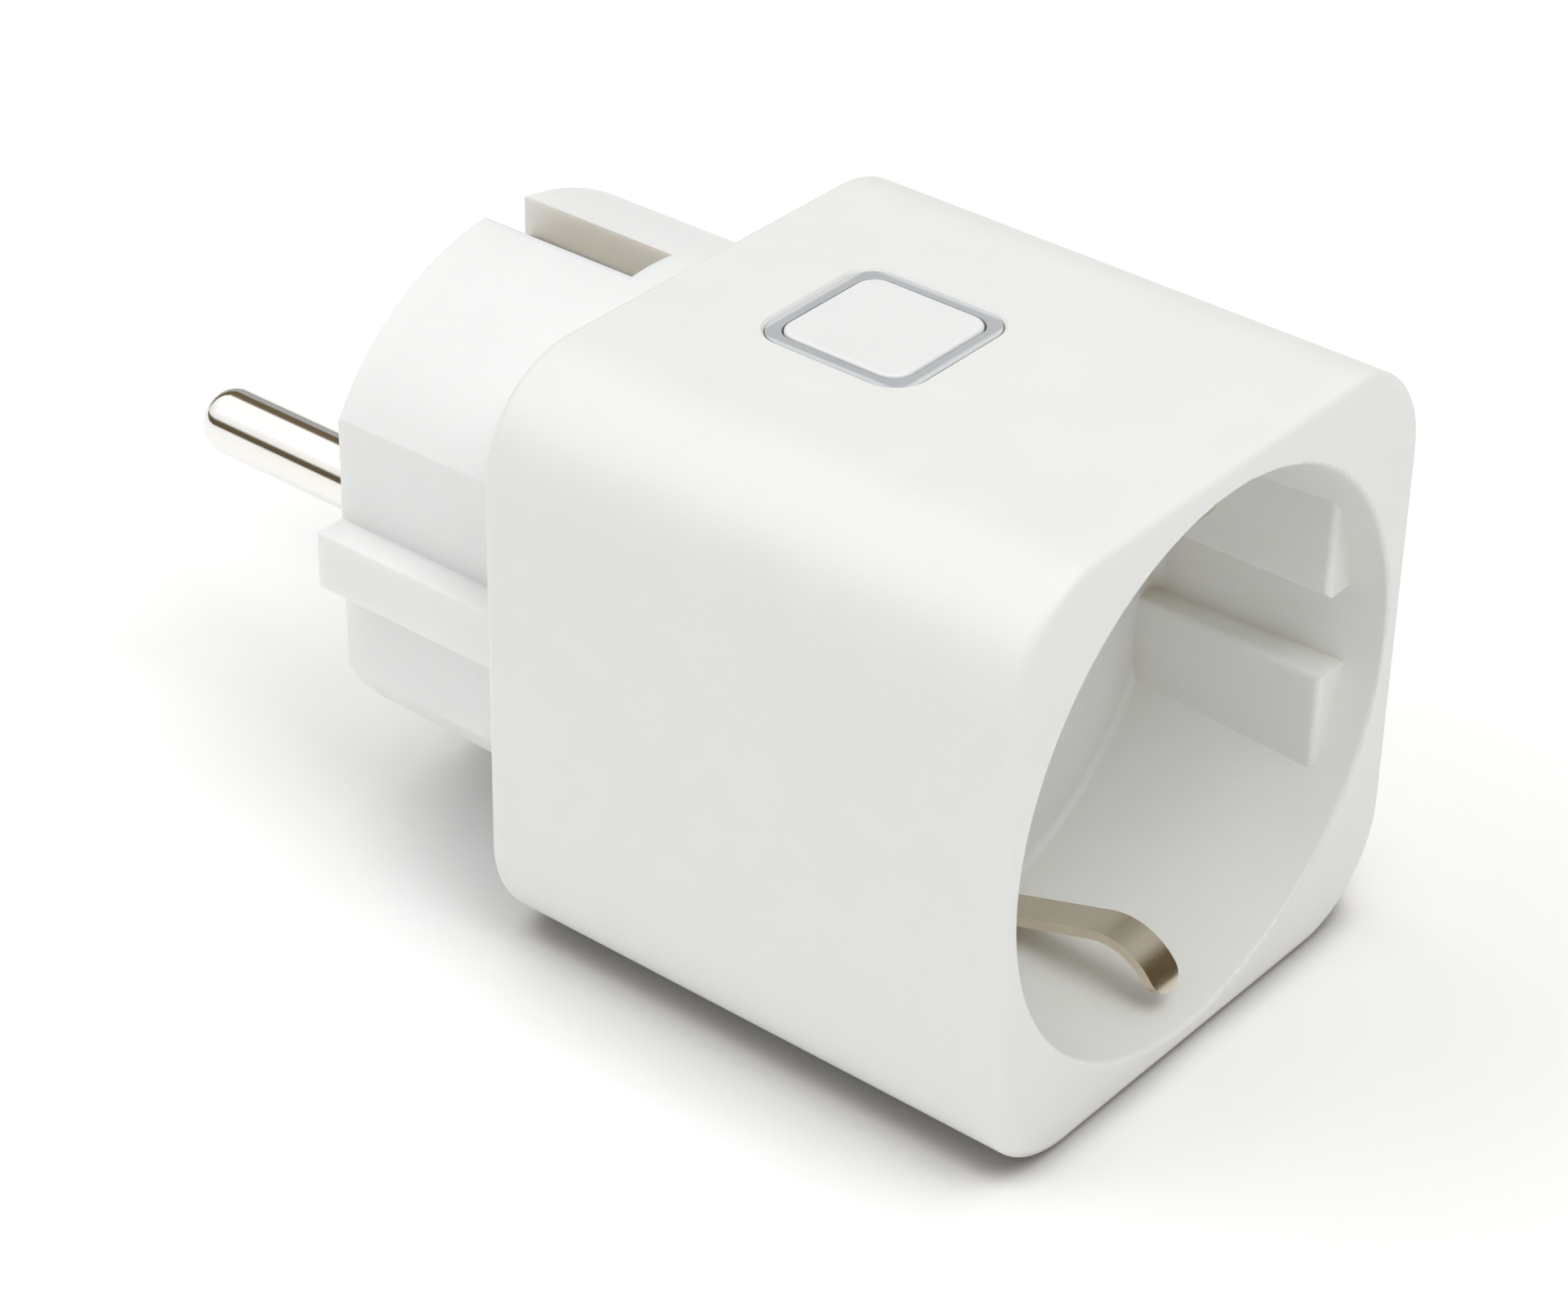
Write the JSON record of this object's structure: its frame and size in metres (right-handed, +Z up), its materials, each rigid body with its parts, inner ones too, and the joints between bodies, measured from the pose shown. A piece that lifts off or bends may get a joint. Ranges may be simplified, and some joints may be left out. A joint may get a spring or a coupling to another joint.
{
  "type": "plug in power meter",
  "caption": "Compact square plug-in power meter and switch: an earthed round socket recess in front, a round-pin earthed plug behind, and a button with a light ring on top.",
  "frame": {"origin": "middle of the object's box, on the case's flat bottom face", "axes": "+Y along the plug's pins, away from the socket; +Z up through the button; +X to the right when looking at the back of the socket along +Y"},
  "size_m": [0.043, 0.0778, 0.043],
  "materials": {
    "case_plastic": "satin moulded",
    "key_plastic": "satin moulded",
    "light_guide": "translucent, unlit",
    "pin_nickel": "nickel plated, polished",
    "contact_nickel": "thinly nickel plated",
    "contact_brass": "rolled strip",
    "bar_copper": "rolled strip",
    "carrier_plastic": "glass filled",
    "shutter_plastic": "self-lubricating moulding",
    "spring_steel": "drawn wire",
    "board_laminate": "solder mask",
    "black_moulding": "fine matte",
    "module_shield": "tin plated",
    "relay_shell": "moulded",
    "coil_wire": "enamelled wire",
    "soft_iron": "zinc plated",
    "shunt_alloy": "rolled strip",
    "film_case": "moulded box",
    "can_sleeve": "shrink sleeve",
    "varistor_coat": "dipped coating",
    "fuse_body": "ceramic body, plated caps",
    "plunger_plastic": "moulded",
    "light_lens": "cast lens"
  },
  "bodies": {
    "case": {"front_housing": "case_plastic", "rear_cover": "case_plastic", "light_ring": "light_guide", "line_pin": "pin_nickel", "neutral_pin": "pin_nickel", "plug_earth_strap": "contact_nickel", "earth_pin_sleeve": "contact_nickel", "socket_earth_clip": "contact_nickel", "earth_link": "contact_brass", "line_socket_contact": "contact_brass", "neutral_socket_contact": "contact_brass", "contact_carrier": "carrier_plastic", "shutter_spring": "spring_steel", "line_bus_bar": "bar_copper", "neutral_bus_bar": "bar_copper", "power_board": "board_laminate", "control_board": "board_laminate", "board_header": "black_moulding", "radio_module": "module_shield", "metering_chip": "black_moulding", "tact_switch": "black_moulding", "status_lights": "light_lens", "suppression_capacitor": "film_case", "smoothing_capacitor": "can_sleeve", "varistor": "varistor_coat", "safety_fuse": "fuse_body", "supply_coil": "coil_wire", "current_shunt": "shunt_alloy", "relay_base": "black_moulding", "relay_cover": "relay_shell", "relay_coil": "coil_wire", "relay_yoke": "soft_iron", "relay_fixed_contact": "bar_copper"},
    "button": {"power_button": "key_plastic"},
    "switch_plunger": {"tact_plunger": "plunger_plastic"},
    "shutter": {"child_shutter": "shutter_plastic"},
    "armature": {"relay_armature": "soft_iron", "relay_contact_blade": "bar_copper"}
  },
  "joints": [
    {"name": "button_press", "type": "slide", "parent": "case", "child": "button", "axis": [0, 0, -1], "range_m": [0, 0.00035], "stiffness_N_per_m": 3000},
    {"name": "plunger_press", "type": "slide", "parent": "case", "child": "switch_plunger", "axis": [0, 0, -1], "range_m": [0, 0.00035], "stiffness_N_per_m": 1000},
    {"name": "shutter_turn", "type": "hinge", "parent": "case", "child": "shutter", "pos_m": [0, -0.01777, 0.0215], "axis": [0, 1, 0], "range_deg": [0, 40], "stiffness_Nm_per_rad": 0.004},
    {"name": "armature_swing", "type": "hinge", "parent": "case", "child": "armature", "pos_m": [0.0014, -0.01438, 0.009], "axis": [0, 0, -1], "range_deg": [0, 3], "stiffness_Nm_per_rad": 0.02}
  ],
  "couplings": [
    {"joint": "plunger_press", "follows": "button_press", "ratio": 1}
  ]
}
